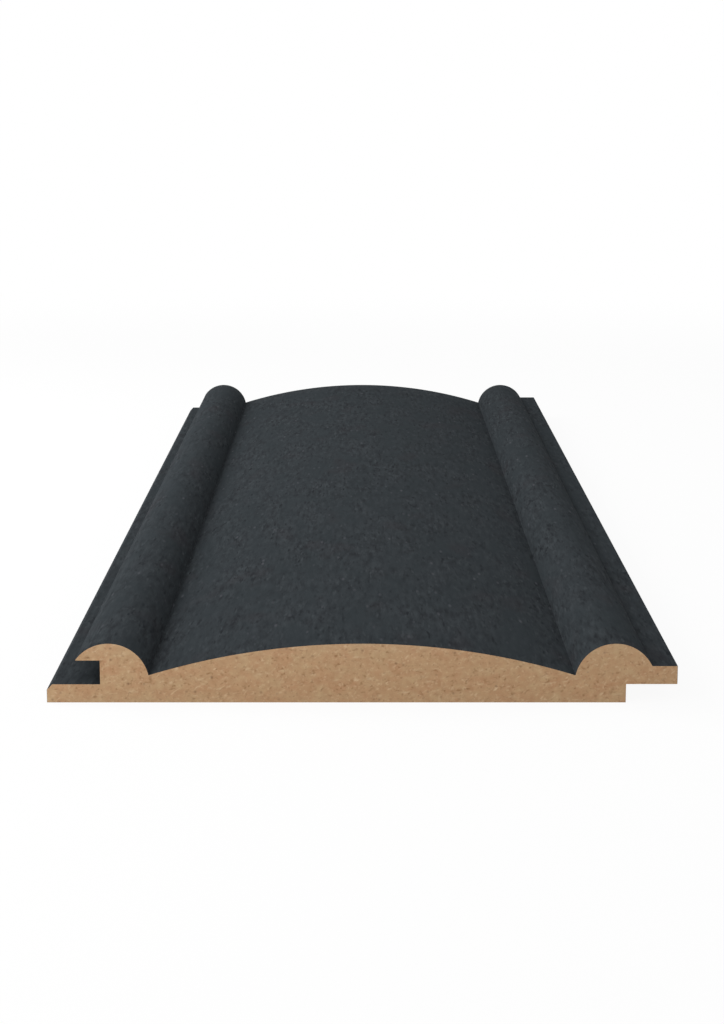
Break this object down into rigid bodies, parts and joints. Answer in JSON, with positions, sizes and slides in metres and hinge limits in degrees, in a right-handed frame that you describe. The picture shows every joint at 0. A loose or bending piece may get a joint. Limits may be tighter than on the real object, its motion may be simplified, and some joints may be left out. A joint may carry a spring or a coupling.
{
  "type": "wall panel",
  "caption": "Tongue-and-groove wall panel board with a half-round bead along each side, a wide crowned field between them, and a back lip under the groove.",
  "frame": {"origin": "middle of the board's back face", "axes": "+X across the board, from the lip and groove to the tongue; +Y along the board; +Z out of the back, towards the moulded face"},
  "size_m": [0.166, 0.5, 0.016],
  "materials": {
    "coated_fibreboard": "medium-density fibreboard, moulded face with a matt charcoal coating; cut ends and back bare and sanded"
  },
  "bodies": {
    "root": {"wall_panel": "coated_fibreboard"}
  },
  "joints": []
}
